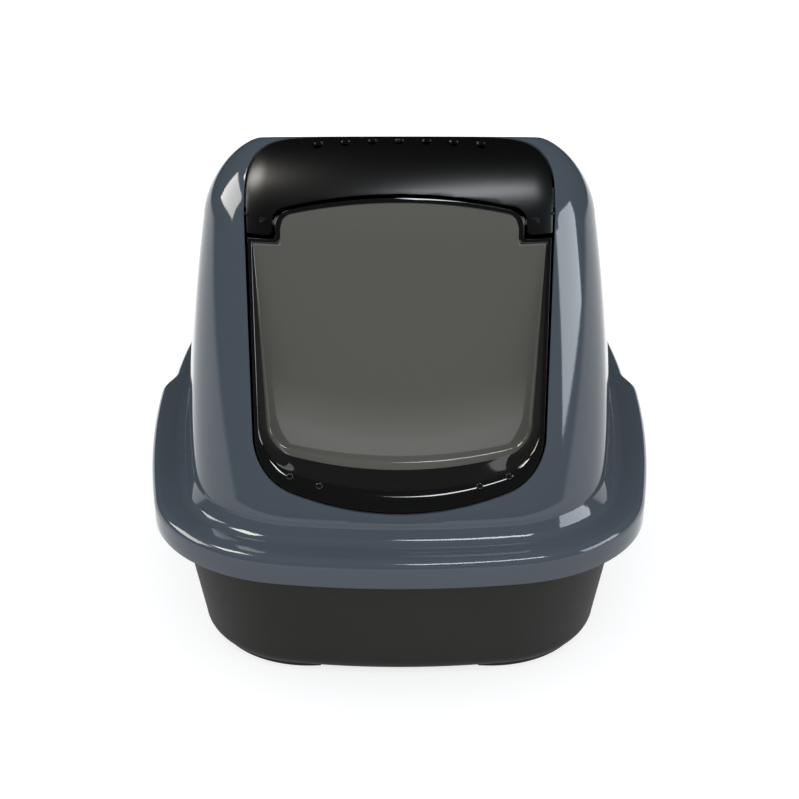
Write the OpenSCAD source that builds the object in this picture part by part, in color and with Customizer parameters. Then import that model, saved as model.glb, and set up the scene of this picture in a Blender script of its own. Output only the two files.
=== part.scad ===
/* [Flange] */
// Width over the hood's flange at its widest line, before the grip recesses step in
flange_w = 406; // [390:1:430]
// Length over the hood's flange, front to back
flange_l = 580; // [550:1:620]
// Height of the flange's top face above the floor
flange_z = 112; // [106:1:130]
// Distance of the widest line behind the flange's front
widest_y = 350; // [320:1:370]
// Bow radius of the front edge
front_bow_r = 520; // [420:5:700]
// Bow radius of the long sides
side_bow_r = 1180; // [1000:10:1600]
// Plan radius of the front corners
front_corner_r = 113; // [95:1:125]
// Plan radius of the rear corners
rear_corner_r = 120; // [95:1:130]
// Radius that rolls the flange over into its skirt
roll_r = 6; // [4:0.5:8]
// Depth of the skirt below the flange's top face
skirt_h = 19; // [14:0.5:24]
// Width of the flange's flat ledge, from the outer edge to the hood's foot
ledge_w = 18; // [14:0.5:22]
// How far the grip recess steps in at each side
grip_in = 8; // [4:0.5:9]
// Start of the grip recess behind the flange's front
grip_y = 288; // [270:1:310]
// Length of the slope that leads into the grip recess
grip_ramp = 34; // [20:1:45]
// Length of the grip recess with its two slopes
grip_l = 170; // [140:1:175]

/* [Hood] */
// Wall thickness of the mouldings
wall = 2.8; // [2.2:0.1:3.4]
// Inset of the hood's walls at the foot, from the flange's outer edge
foot_in = 29; // [26:0.5:34]
// Height of the concave foot
foot_h = 12; // [8:0.5:16]
// Backward lean of the front face, in degrees
front_lean = 22; // [18:0.5:26]
// Inward lean of the side walls, in degrees
side_lean = 6.3; // [5:0.5:11]
// Outward bow of the side walls, half way up
side_bow = 3; // [0:0.5:6]
// Forward lean of the rear wall, in degrees
rear_lean = 7; // [4:0.5:12]
// Height above the ledge at which the front face starts to round over
shoulder_h = 199; // [180:1:210]
// Rise of the rounded shoulder
shoulder_rise = 43; // [36:1:52]
// Run of the shoulder at the front
front_run = 40; // [30:1:50]
// Run of the shoulder at the sides and at the rear
side_run = 39; // [34:1:46]
// Extra plan rounding that the walls gain up to the shoulder
upper_inset = 24; // [0:1:30]
// Backward slope of the roof, in degrees
roof_slope = 14.5; // [9:0.5:16]
// Rise of the roof's crown
crown = 4; // [2:0.5:7]

/* [Opening] */
// Distance of the opening's side from the flange's outer edge, at the legs of the cover
door_side = 101; // [99:0.5:104]
// Width of the cover's leg between the flap's ear and the opening's side
leg_w = 15.4; // [12:0.2:18]
// How much narrower the opening is at each sill corner than at the shoulder
sill_taper = 5.5; // [3:0.5:9]
// Height of the sill above the ledge, at the middle
sill_h = 18; // [16:0.5:26]
// Bow radius of the sill
sill_bow_r = 250; // [220:5:320]
// Radius of the opening's lower corners
opening_corner_r = 36; // [28:1:42]
// Reach of the opening over the roof, behind the roof's front edge
opening_reach = 5.4; // [3:0.2:9]
// Plan radius of the opening's rear corners
opening_rear_r = 32; // [24:1:38]
// Seam between neighbouring mouldings
seam = 1.8; // [1.4:0.1:2.2]
// Seam behind the top cover, where its edge lifts past the roof
rear_seam = 2.6; // [2.4:0.1:3.4]

/* [Flap] */
// Thickness of the flap's sheet
flap_t = 2.6; // [2:0.1:3.2]
// Backward lean of the flap's flat panel, in degrees
flap_lean = 14; // [12:0.5:16]
// Rise of the flap's arched top above the line where the hood's shoulder starts
arch_rise = 13; // [10:0.5:16]
// Bow radius of the arched top
arch_r = 320; // [260:5:400]
// Radius of the ears' corners
ear_r = 12; // [8:0.5:16]
// Depth of the flap's square shoulders below its hinge line
flap_shoulder_drop = 8; // [7:0.5:11]
// Height of the flush rim band along the sill
rim_h = 12; // [8:0.5:15]
// Diameter of the flap's hinge pins
flap_pin_d = 4; // [3:0.25:5]
// Depth of the flap's hinge line below the line where the hood's shoulder starts
flap_axis_drop = 6; // [4:0.5:8]
// Width of the flush rim along the flap's sides and top
rim_w = 2.8; // [2.6:0.1:4]
// Inset of the flap's flat field from its edge at the sides, above the sill
field_in = 8; // [6:0.5:11]
// Height of the flap's flat field above the ledge, at the middle
field_h = 42; // [38:0.5:46]
// Diameter of the small studs on the flap's rim
stud_d = 4.4; // [3:0.2:5]

/* [Cover] */
// Number of vent holes in the top cover
vent_count = 7; // [5:2:9]
// Diameter of a vent hole
vent_d = 7; // [5:0.5:8]
// Distance of the outermost vents inside the ends of the filter pad
vent_margin = 5; // [4:0.5:12]
// Distance of the vent row in front of the roof's front edge
vent_ahead = 6.6; // [4:0.2:10]
// Distance of each hinge arm's middle from the opening's side
hinge_in = 30; // [28:0.5:34]
// Distance of the cover's hinge line behind the seam on the roof
hinge_back = 14; // [12:0.5:17]
// Depth of the cover's hinge line below the roof's outer face
hinge_drop = 6.5; // [6:0.25:8]
// Diameter of the cover's hinge pins
hinge_pin_d = 3; // [2.5:0.25:3.5]
// Distance between a filter rail and the hinge arm beside it
arm_gap = 3.9; // [2.5:0.1:6]
// Width of a hinge arm
hinge_arm_w = 7; // [5:0.5:9]

/* [Filter] */
// Depth of the carbon filter pad, front to back
filter_l = 22; // [20:1:24]
// Thickness of the carbon filter pad
filter_t = 8; // [6:0.5:9]
// Distance of the filter frame's middle in front of the vent row
filter_ahead = 7; // [6:0.5:9]
// Depth of the filter frame's top edge below the crown of the cover
filter_drop = 14; // [13:0.5:15]
// Slope of the filter frame, in degrees
filter_slope = 18; // [16:0.5:20]
// Wall of the filter frame
frame_t = 1.8; // [1.4:0.1:2.2]

/* [Tray] */
// Depth of the rim's downturned lip
rim_lip = 7; // [5:0.5:10]
// Inset of the tray's wall below the rim, from the flange's outer edge
tray_in = 16; // [14:0.5:18]
// Extra inset of the tray's wall at the floor
tray_taper = 16; // [10:0.5:18]
// Radius round the tray's floor
tray_round = 11; // [8:1:16]
// Height of the moulded feet
foot_rib_h = 3.5; // [2.5:0.25:5]
// Width of a moulded foot
foot_rib_w = 6; // [4:0.5:8]

/* [Hidden] */
front_y = -flange_l / 2;
// Steps along half an end bow and round a corner of a plan outline
end_n = 4;
corner_n = 6;
// Angle at which the shoulder meets the crown of the roof
roof_angle = 84;
// Places of the rings up the wall, round the shoulder and over the crown
wall_steps = [0, 0.31, 0.63, 1];
shoulder_steps = [14, 28, 42, 56, 70, roof_angle];
crown_steps = [0.7, 0.35];
// Sides of a pin or bore, and of a small round
round_n = 48;
small_n = 24;
// Share of the wall's height at which the inner face meets the ledge, and how far in it meets it
foot_start = 0.02;
foot_more = 4;
// Radius of the roof's corners where the crown begins
crown_corner_r = 14;
// Clearance between neighbours that only rest on each other
rest_gap = 0.3;
// Radial clearance of a pin in the bore that turns on it, and in the bore that holds it
run_gap = 0.1;
hold_gap = 0.02;
// Clearance of the tray's rim inside the skirt
rim_gap = 1.6;
slope = tan(roof_slope);
// Opening and flap, in half widths and in heights above the ledge
opening_top_w = flange_w / 2 - door_side;
ear_w = opening_top_w - 2 * seam - leg_w;
opening_low_w = opening_top_w - sill_taper;
arch_h = shoulder_h + arch_rise;
flap_axis_h = shoulder_h - flap_axis_drop;
flap_shoulder_h = flap_axis_h - flap_shoulder_drop;
leg_l = 25;
cover_low = flap_shoulder_h - leg_l;
// Reach of a cutting solid past what it cuts, to the side and downward
cut_w = 60;
cut_low = 60;
roof_h = shoulder_h + shoulder_rise * sin(roof_angle);
roof_f = foot_in + tan(front_lean) * (roof_h - foot_h) + front_run * (1 - cos(roof_angle));
opening_rear_y = roof_f + opening_reach;
hinge_x = opening_top_w - hinge_in;
rail_t = 2.5;
// The filter fills the width between the rails, which stand inside the hinge arms
filter_w = 2 * (hinge_x - hinge_arm_w / 2 - arm_gap - rail_t - rest_gap - frame_t);
vent_y = roof_f - vent_ahead;
vent_pitch = (filter_w - 2 * vent_margin) / (vent_count - 1);
filter_y = vent_y - filter_ahead;
// Hinge line of the cover, behind the flange's front and above the ledge
hinge_y = opening_rear_y + hinge_back;
hinge_h = roof_h - slope * (hinge_y - roof_f) - hinge_drop;
bearing_t = 3;
rail_lip = 3;
rail_lip_t = 1.6;
rail_x = filter_w / 2 + frame_t + rest_gap;
knuckle_t = 1.7;
knuckle_r = hinge_pin_d / 2 + knuckle_t;
// Hinge arm: how far it dips below the hinge line to pass round the roof's edge, and where it meets the cover
arm_dip = 12.5;
arm_t = 3;
arm_ahead = 4;
arm_reach = hinge_back + arm_ahead;
// Hinge of the flap, and its studs: distance from the middle and height above the ledge
stud_in = [23.5, 43.2];
stud_up = [19.2, 14.5];
flap_studs = [for (k = [0, 1]) [opening_low_w - stud_in[k], sill_h + seam + stud_up[k]]];
stud_rise = 0.8;
axis_behind = 0.8;
pin_head_d = flap_pin_d + 1;
pin_head_t = 1;
ear_foot = 3;
// Ears stand this much clear of the window's sides, so that they pass its corners as the flap swings out
ear_ease = 0.5;
// Height of the flat field's lower edge above the flap's own lower edge
shelf_h = field_h - sill_h - seam;
side_t = 2;
window_low = flap_shoulder_h + seam + ear_ease;
edge_set = 0.2;
rim_set = 0.4;
field_set = 1;
// How much flatter the sill's bow is, how much tighter its corners are and how much more the top is
// drawn in, from the rim over the shelf to the field
sill_more = [40, 100, 200];
round_less = [2.2, 5.2, 8.2];
arch_more = [0.6, 1.5];
ear_gap = seam;
boss_t = 2.5;
boss_r = flap_pin_d / 2 + boss_t;
boss_w = 8;
lug_rise = 8;
lug_h = shoulder_h + lug_rise;
lug_w = 11;
lug_t = 2.4;
// Small nubs on the sides of the cover's legs
nub_d = 2;
// Slots in the floor of the filter frame
slot_count = 9;
slot_w = 8;
slot_end = 3;
slot_pitch = filter_w / (slot_count + 0.5);
pad_set = 0.05;
pad_low = 1;
// Feet reach this much past the corner's arc, in degrees, and this far out from its inner side
foot_past = 16;
foot_out = 3;
rim_step = 1;

// Circle that carries a corner, tangent inside the end bow and the side bow: its centre and the
// two tangent angles
function corner_of(w, d, re, rc, rs) =
    let (
        ay = re - d,
        bx = w - rs,
        ra = re - rc,
        rb = rs - rc,
        gap = norm([bx, ay]),
        along = (ra * ra - rb * rb + gap * gap) / (2 * gap),
        aside = sqrt(ra * ra - along * along),
        c = [(along * bx + aside * ay) / gap, ay + (-along * ay + aside * bx) / gap]
    )
    [c, atan2(c[0], ay - c[1]), atan2(c[0] - bx, -c[1])];

// End bow and corner of a plan outline, from the middle of the end to the start of the side
function end_part(w, d, re, rc, rs) =
    let (k3 = corner_of(w, d, re, rc, rs), c = k3[0], a1 = k3[1], a2 = k3[2])
    concat(
        [for (k = [0:end_n - 1]) let (a = a1 * k / end_n) [re * sin(a), re - d - re * cos(a)]],
        [for (k = [0:corner_n]) let (a = a1 + (a2 - a1) * k / corner_n) c + rc * [sin(a), -cos(a)]]
    );

// Share of the grip recess at a distance y behind the flange's front
function grip_share(y) =
    let (mid = grip_y + grip_l / 2)
    max(0, min(1, (grip_l / 2 - abs(y - mid)) / grip_ramp));

// Whole plan outline, y measured from the flange's front; grip is the depth of the recess in this outline
function outline(w, f, b, inset, grip, grip_stations) =
    let (
        rs = side_bow_r - inset,
        q1 = end_part(w, widest_y - f, front_bow_r - inset, front_corner_r - inset, rs),
        q2 = end_part(w, b - widest_y, front_bow_r - inset, rear_corner_r - inset, rs),
        y1 = widest_y + q1[len(q1) - 1][1],
        y2 = widest_y - q2[len(q2) - 1][1],
        stations = grip_stations
            ? [(y1 + grip_y) / 2, grip_y, grip_y + grip_ramp, grip_y + grip_l / 2,
                grip_y + grip_l - grip_ramp, grip_y + grip_l]
            : [for (k = [1:6]) y1 + (y2 - y1) * k / 7],
        right = concat(
            [for (p = q1) [p[0], widest_y + p[1]]],
            [for (y = stations)
                [w - rs + sqrt(rs * rs - (y - widest_y) * (y - widest_y)) - grip * grip_share(y), y]],
            [for (i = [len(q2) - 1:-1:0]) [q2[i][0], widest_y - q2[i][1]]]
        )
    )
    concat(right, [for (i = [len(right) - 2:-1:1]) [-right[i][0], right[i][1]]]);

// Outline as a level or sloping ring
function ring(w, f, b, inset, z, slope = 0) =
    [for (p = outline(w, f, b, inset, 0, false)) [p[0], p[1] + front_y, flange_z + z - slope * (p[1] - f)]];

// Level ring parallel to the flange's outer edge; grip 1 follows the recess and 0 passes straight by it
function edge_ring(inset, z, grip = 0) =
    [for (p = outline(flange_w / 2 - inset, inset, flange_l - inset, inset, grip * grip_in, true))
        [p[0], p[1] + front_y, flange_z + z]];

// Wall of the hood at a height z above the ledge, t inside its outer face
function wall_ring(z, t) =
    let (h = z - foot_h, part = h / (shoulder_h - foot_h))
    ring(
        flange_w / 2 - foot_in - h * tan(side_lean) + 4 * side_bow * part * (1 - part) - t,
        foot_in + h * tan(front_lean) + t,
        flange_l - foot_in - h * tan(rear_lean) - t,
        foot_in + t + upper_inset * part, z, slope * part
    );

// Rounded shoulder of the hood, a from 0 at the walls to 90 at the roof
function shoulder_ring(a, t) =
    let (
        h = shoulder_h - foot_h,
        up = (shoulder_rise - t) * sin(a),
        in = 1 - cos(a),
        side = tan(side_lean) * (h + up) + (side_run - t) * in + t,
        front = tan(front_lean) * (h + up) + (front_run - t) * in + t,
        rear = tan(rear_lean) * (h + up) + (side_run - t) * in + t
    )
    ring(
        flange_w / 2 - foot_in - side, foot_in + front, flange_l - foot_in - rear,
        foot_in + upper_inset + (front_corner_r - foot_in - upper_inset - crown_corner_r) * in,
        shoulder_h + up, slope
    );

// Crown of the roof: the last shoulder ring drawn in towards its middle
function crown_ring(part, t) =
    let (
        edge = shoulder_ring(roof_angle, t),
        mid = [0, (edge[0][1] + edge[len(edge) / 2][1]) / 2, (edge[0][2] + edge[len(edge) / 2][2]) / 2]
    )
    [for (p = edge) mid + (p - mid) * part + [0, 0, crown * (1 - part * part)]];

// Sag of the bowed front at a distance x from the middle
function bow(x) = let (r = front_bow_r - foot_in - upper_inset) r - sqrt(r * r - x * x);

// Front face of the hood at x and at a height z above the ledge, measured behind the flange's front
function face_y(x, z) =
    let (
        level = z + slope * min(1, z / shoulder_h) * bow(x),
        past = max(0, min(1, (level - shoulder_h) / shoulder_rise))
    )
    foot_in + (level - foot_h) * tan(front_lean) + front_run * (1 - sqrt(1 - past * past)) + bow(x);

// Closed solid through rings of equal length, each anticlockwise seen from the side of the last one
module loft(rings) {
    n = len(rings[0]);
    m = len(rings);
    polyhedron(
        points = [for (r = rings) each r],
        faces = concat(
            [[for (i = [0:n - 1]) i]],
            [for (j = [0:m - 2], i = [0:n - 1]) let (p = j * n + i, q = j * n + (i + 1) % n)
                each [[p, p + n, q + n], [p, q + n, q]]],
            [[for (i = [n - 1:-1:0]) (m - 1) * n + i]]
        ),
        convexity = 10
    );
}

// Prism along Y through an outline drawn in x and in height above the ledge
module front_prism(from, to) {
    translate([0, front_y + to, flange_z])
        rotate([90, 0, 0])
            linear_extrude(to - from)
                children();
}

// Opening in the hood's front and roof, drawn in by a gap
module opening(gap, rear_gap) {
    intersection() {
        front_prism(-cut_low, opening_rear_y + cut_low)
            opening_front(gap);
        translate([0, front_y, flange_z])
            linear_extrude(roof_h + cut_low)
                opening_plan(gap, rear_gap);
    }
}

module opening_front(gap) {
    top = opening_top_w - gap;
    polygon(both_halves(concat(
        sill_half(opening_low_w - gap, sill_h + gap, sill_bow_r + gap, opening_corner_r - gap),
        [[top, shoulder_h], [top, roof_h + cut_low]]
    )));
}

module opening_plan(gap, rear_gap) {
    w = opening_top_w - gap;
    r = opening_rear_r - gap;
    rear = opening_rear_y - rear_gap;
    polygon(concat(
        [[-w, -cut_low], [w, -cut_low]],
        [for (k = [0:8]) let (a = 90 * k / 8) [w - r + r * cos(a), rear - r + r * sin(a)]],
        [for (k = [8:-1:0]) let (a = 90 * k / 8) [-w + r - r * cos(a), rear - r + r * sin(a)]]
    ));
}

// Solid space under the hood's outer face, t inside it, from a height upwards
module under_skin(t, from) {
    loft(concat(
        [wall_ring(from, t), wall_ring(shoulder_h, t)],
        [for (a = shoulder_steps) shoulder_ring(a, t)],
        [for (p = crown_steps) crown_ring(p, t)]
    ));
}

// Pair of things at the same distance on both sides of the middle
module both_sides(x) {
    for (s = [-1, 1])
        translate([s * x, 0, 0])
            children();
}

// Cylinder along X, centred on a line behind the flange's front and above the ledge
module cross_cylinder(d, length, y, z) {
    translate([0, front_y + y, flange_z + z])
        rotate([0, 90, 0])
            cylinder(d = d, h = length, center = true, $fn = round_n);
}

// Bearing cheeks under the roof, on both sides of each hinge arm
module hinge_cheeks() {
    both_sides(hinge_x)
        both_sides(hinge_arm_w / 2 + rest_gap + bearing_t / 2) {
            cross_cylinder(2 * knuckle_r, bearing_t, hinge_y, hinge_h);
            translate([-bearing_t / 2, front_y + hinge_y - knuckle_r, flange_z + hinge_h])
                cube([bearing_t, 2 * knuckle_r, hinge_drop + 2 * wall]);
        }
}

// Rest lugs behind the legs of the cover: they follow the legs' inner face and join the hood's
// wall beside them
module rest_lugs() {
    difference() {
        intersection() {
            under_skin(wall / 2, cover_low);
            both_sides(opening_top_w)
                translate([-lug_w / 2, front_y, flange_z + lug_h - lug_w / 2])
                    cube([lug_w, roof_f, lug_w]);
        }
        under_skin(wall + rest_gap + lug_t, cover_low);
        intersection() {
            difference() {
                under_skin(-lug_t, cover_low);
                under_skin(wall + rest_gap, cover_low);
            }
            translate([-opening_top_w, front_y, flange_z])
                cube([2 * opening_top_w, roof_f, roof_h + cut_low]);
        }
    }
}

module hood_shell() {
    color([0.34, 0.37, 0.40]) {
        difference() {
            union() {
                difference() {
                    loft(concat(
                        [for (p = reverse(crown_steps)) crown_ring(p, wall)],
                        [for (a = reverse(shoulder_steps)) shoulder_ring(a, wall)],
                        [for (part = reverse(wall_steps))
                            wall_ring(foot_h + max(part, foot_start) * (shoulder_h - foot_h), wall)],
                        [edge_ring(ledge_w + foot_more, -wall), edge_ring(wall, -wall, 1)],
                        [edge_ring(wall, -skirt_h, 1), edge_ring(0, -skirt_h, 1)],
                        [for (a = [0:30:90]) edge_ring(roll_r * (1 - cos(a)), roll_r * (sin(a) - 1), 1)],
                        [for (a = [0:30:60]) edge_ring(
                            ledge_w + (foot_in - ledge_w) * sin(a), foot_h * (1 - cos(a)))],
                        [for (part = wall_steps) wall_ring(foot_h + part * (shoulder_h - foot_h), 0)],
                        [for (a = shoulder_steps) shoulder_ring(a, 0)],
                        [for (p = crown_steps) crown_ring(p, 0)]
                    ));
                    opening(0, 0);
                }
                intersection() {
                    hinge_cheeks();
                    under_skin(wall / 2, cover_low);
                }
                rest_lugs();
            }
            both_sides(hinge_x)
                cross_cylinder(
                    hinge_pin_d + 2 * hold_gap, hinge_arm_w + 4 * bearing_t, hinge_y, hinge_h);
        }
    }
}

// Right half of the flap's top, from its square shoulder over the ear to the middle of the arch
function arch_half(shoulder, ear, ear_round, arch) =
    let (
        // The ear's corner arc touches the ear's side and the arch
        ex = ear - ear_round,
        ez = arch - arch_r + sqrt((arch_r - ear_round) * (arch_r - ear_round) - ex * ex),
        lean = atan2(ex, ez - arch + arch_r)
    )
    concat(
        [[ear + ear_foot, shoulder], [ear, shoulder + ear_foot]],
        [for (k = [0:4]) let (a = 90 - (90 - lean) * k / 4)
            [ex + ear_round * sin(a), ez + ear_round * cos(a)]],
        [for (k = [1:4]) let (a = lean * (1 - k / 4)) [arch_r * sin(a), arch - arch_r * (1 - cos(a))]]
    );

// Right half of a sill: its bow from the middle, then the corner arc up to the side
function sill_half(low, sill, sill_r, r) =
    let (
        cx = low - r,
        rise = sqrt((sill_r - r) * (sill_r - r) - cx * cx),
        lean = atan2(cx, rise),
        cz = sill + sill_r - rise
    )
    concat(
        [for (k = [0:4]) let (a = lean * k / 5) [sill_r * sin(a), sill + sill_r * (1 - cos(a))]],
        [for (k = [0:6]) let (a = lean + (90 - lean) * k / 6) [cx + r * sin(a), cz - r * cos(a)]]
    );

// Closed outline from its right half, which starts at the bottom of the middle line and may end on it
function both_halves(right) =
    let (last = len(right) - (right[len(right) - 1][0] < 0.001 ? 2 : 1))
    concat(right, [for (i = [last:-1:1]) [-right[i][0], right[i][1]]]);

// Outline of the flap, drawn in at the sill, the sides and the top
function flap_stage(sill_in, side_in, top_in, sill_more, round_less) =
    let (
        low = sill_half(
            opening_low_w - seam - side_in, sill_h + seam + sill_in,
            sill_bow_r + sill_more, opening_corner_r - seam - round_less),
        top = [opening_top_w - seam - ear_ease - top_in, flap_shoulder_h - top_in],
        end = low[len(low) - 1]
    )
    both_halves(concat(
        low, [(end + top) / 2, top],
        arch_half(top[1], ear_w - top_in, ear_r - top_in / 2, arch_h - top_in)
    ));

// Flat field of the flap, bowed like the hood's front
function field_y(x, z) = face_y(0, arch_h) + field_set - (arch_h - z) * tan(flap_lean) + bow(x);

function place(p, y) = [p[0], front_y + y, flange_z + p[1]];

// Rings of the flap's front skin, from its edge to the middle of its field, or of its back skin.
// The back rings stand outside the front ones by side_t, so that steep walls keep their thickness.
function flap_rings(back) =
    let (
        out = back * side_t,
        t = back * flap_t,
        edge = flap_stage(0, 0, ear_ease + back, 0, 0),
        rim = flap_stage(rim_h - out, rim_w - out, rim_w - back, sill_more[0], round_less[0]),
        shelf = flap_stage(
            (rim_h + shelf_h) / 2 - out, (rim_w + field_in) / 2 - out, rim_w + arch_more[0] - back,
            sill_more[1], round_less[1]),
        field = flap_stage(
            shelf_h - out, field_in - out, rim_w + arch_more[1] - back, sill_more[2], round_less[2]),
        mid = [0, (field_h + arch_h) / 2]
    )
    concat(
        [[for (p = edge) place(p, face_y(p[0], p[1]) + edge_set + t)]],
        [[for (p = rim) place(p, face_y(p[0], p[1]) + rim_set + t)]],
        [[for (p = shelf) place(p, (face_y(p[0], p[1]) + field_y(p[0], p[1])) / 2 + t)]],
        [for (part = [1, 0.7, 0.4, 0.1])
            [for (p = field) let (q = mid + (p - mid) * part)
                place(q, field_y(part > 0.2 ? q[0] : 0, q[1]) + t)]]
    );

function reverse(list) = [for (i = [len(list) - 1:-1:0]) list[i]];

// Hinge line of the flap, just behind its sheet at the ears
flap_axis_y = field_y(ear_w, flap_axis_h) + flap_t + axis_behind;

module swing_flap() {
    boss_mid = ear_w - boss_w / 2 - edge_set;
    color([0.36, 0.36, 0.34, 0.9])
        difference() {
            union() {
                loft(concat(reverse(flap_rings(1)), flap_rings(0)));
                both_sides(boss_mid)
                    cross_cylinder(2 * boss_r, boss_w, flap_axis_y, flap_axis_h);
                for (p = flap_studs)
                    both_sides(p[0])
                        translate([0, front_y + face_y(p[0], p[1]) + rim_set + flap_t / 2, flange_z + p[1]])
                            rotate([90 - front_lean, 0, 0])
                                cylinder(d = stud_d, h = flap_t / 2 + stud_rise, $fn = small_n);
            }
            both_sides(boss_mid)
                cross_cylinder(flap_pin_d + 2 * run_gap, boss_w + rest_gap, flap_axis_y, flap_axis_h);
        }
}

// Pin of the flap's hinge, pushed into the cover's boss from outside
module flap_pin(side) {
    inner = ear_w - boss_w + pin_head_t;
    outer = ear_w + ear_gap + boss_w + edge_set;
    color([0.6, 0.6, 0.6])
        translate([side * (inner + outer) / 2, 0, 0]) {
            cross_cylinder(flap_pin_d, outer - inner, flap_axis_y, flap_axis_h);
            translate([side * ((outer - inner) / 2 + pin_head_t / 2), 0, 0])
                cross_cylinder(pin_head_d, pin_head_t, flap_axis_y, flap_axis_h);
        }
}

// Pin of the cover's hinge, through both cheeks and the arm between them
module cover_pin(side) {
    color([0.6, 0.6, 0.6])
        translate([side * hinge_x, 0, 0])
            cross_cylinder(
                hinge_pin_d, hinge_arm_w + 2 * rest_gap + 2 * bearing_t, hinge_y, hinge_h);
}

// Swan-neck arm: down from the knuckle, forward below the roof's edge and up to the cover
module hinge_arm() {
    translate([-hinge_arm_w / 2, front_y + hinge_y, flange_z + hinge_h])
        rotate([90, 0, 90])
            linear_extrude(hinge_arm_w) {
                circle(knuckle_r, $fn = round_n);
                polygon([
                    [-knuckle_r, 0], [knuckle_r, 0], [knuckle_r, -arm_dip - arm_t],
                    [-arm_reach - arm_t, -arm_dip - arm_t], [-arm_reach - arm_t, hinge_drop + wall],
                    [-arm_reach, hinge_drop + wall], [-arm_reach, -arm_dip], [-knuckle_r, -arm_dip]
                ]);
            }
}

// Frame of reference of the filter frame: the middle of its top edge plane
module at_filter() {
    translate([0, front_y + filter_y, flange_z + roof_h - filter_drop])
        rotate([filter_slope, 0, 0])
            children();
}

// Rails under the cover that carry the filter frame
module filter_rails() {
    depth = filter_t + frame_t + rest_gap;
    rail_l = filter_l - 2 * frame_t;
    for (s = [-1, 1])
        at_filter() {
            translate([s > 0 ? rail_x : -rail_x - rail_t, -rail_l / 2, -depth])
                cube([rail_t, rail_l, depth + shoulder_rise]);
            translate([s > 0 ? rail_x - rail_lip : -rail_x - rail_t, -rail_l / 2, -depth - rail_lip_t])
                cube([rail_t + rail_lip, rail_l, rail_lip_t]);
        }
}

module top_cover() {
    boss_mid = ear_w + ear_gap + boss_w / 2;
    color([0.05, 0.05, 0.06])
        difference() {
            union() {
                difference() {
                    intersection() {
                        loft(concat(
                            [for (p = reverse(crown_steps)) crown_ring(p, wall)],
                            [for (a = reverse(shoulder_steps)) shoulder_ring(a, wall)],
                            [for (z = [shoulder_h, cover_low]) wall_ring(z, wall)],
                            [for (z = [cover_low, shoulder_h]) wall_ring(z, 0)],
                            [for (a = shoulder_steps) shoulder_ring(a, 0)],
                            [for (p = crown_steps) crown_ring(p, 0)]
                        ));
                        opening(seam, rear_seam);
                    }
                    front_prism(-cut_low, opening_rear_y)
                        polygon(both_halves(concat(
                            [[0, -cut_low], [opening_top_w + cut_w, -cut_low]],
                            [[opening_top_w + cut_w, window_low]],
                            arch_half(window_low, ear_w + seam, ear_r - seam, arch_h + seam)
                        )));
                }
                intersection() {
                    union() {
                        both_sides(hinge_x)
                            hinge_arm();
                        filter_rails();
                        both_sides(boss_mid) {
                            cross_cylinder(2 * boss_r, boss_w, flap_axis_y, flap_axis_h);
                            translate([-boss_w / 2, front_y, flange_z + flap_axis_h - boss_r])
                                cube([boss_w, flap_axis_y, 2 * boss_r]);
                        }
                    }
                    under_skin(wall / 2, cover_low);
                }
                difference() {
                    intersection() {
                        under_skin(wall / 4, cover_low);
                        both_sides(opening_top_w - seam)
                            translate([-nub_d / 2, front_y, flange_z + shoulder_h - nub_d / 2])
                                cube([nub_d, roof_f, nub_d]);
                    }
                    under_skin(3 * wall / 4, cover_low);
                }
            }
            for (k = [0:vent_count - 1])
                translate([
                    (k - (vent_count - 1) / 2) * vent_pitch, front_y + vent_y,
                    flange_z + roof_h - slope * (vent_y - roof_f)
                ])
                    rotate([-roof_slope, 0, 0])
                        cylinder(d = vent_d, h = 6 * wall, center = true, $fn = small_n);
            both_sides(hinge_x)
                cross_cylinder(hinge_pin_d + 2 * run_gap, hinge_arm_w + rest_gap, hinge_y, hinge_h);
            both_sides(boss_mid)
                cross_cylinder(flap_pin_d + 2 * hold_gap, boss_w + rest_gap, flap_axis_y, flap_axis_h);
        }
}

module filter_frame() {
    w = filter_w + 2 * frame_t;
    l = filter_l + 2 * frame_t;
    h = filter_t + frame_t;
    color([0.12, 0.12, 0.12])
        at_filter()
            difference() {
                translate([-w / 2, -l / 2, -h])
                    cube([w, l, h]);
                translate([-filter_w / 2, -filter_l / 2, -filter_t])
                    cube([filter_w, filter_l, h]);
                for (k = [0:slot_count - 1])
                    translate([
                        (k - (slot_count - 1) / 2) * slot_pitch - slot_w / 2,
                        -filter_l / 2 + slot_end, -h - frame_t
                    ])
                        cube([slot_w, filter_l - 2 * slot_end, h]);
            }
}

module carbon_filter() {
    color([0.1, 0.1, 0.1])
        at_filter()
            translate([-filter_w / 2 + rest_gap, -filter_l / 2 + rest_gap, -filter_t + pad_set])
                cube([filter_w - 2 * rest_gap, filter_l - 2 * rest_gap, filter_t - pad_low]);
}

// Foot under one corner of the tray: a rib along the corner's arc
module foot_rib(end, corner_r, side) {
    low = tray_in + tray_taper;
    k3 = corner_of(
        flange_w / 2 - low, (end > 0 ? flange_l - widest_y : widest_y) - low,
        front_bow_r - low, corner_r - low, side_bow_r - low
    );
    r = corner_r - low - tray_round;
    // Drawn for the front right corner, then mirrored to the others
    scale_y = end > 0 ? 1 : 0;
    translate([0, front_y + widest_y, 0])
        mirror([0, scale_y, 0])
            mirror([side < 0 ? 1 : 0, 0, 0])
                translate([k3[0][0], k3[0][1], 0])
                    rotate([0, 0, k3[1] - 90 - foot_past])
                        rotate_extrude(angle = k3[2] - k3[1] + foot_past, $fn = 2 * round_n)
                            translate([r - foot_rib_w + foot_out, 0])
                                square([foot_rib_w, foot_rib_h + wall / 2]);
}

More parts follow.
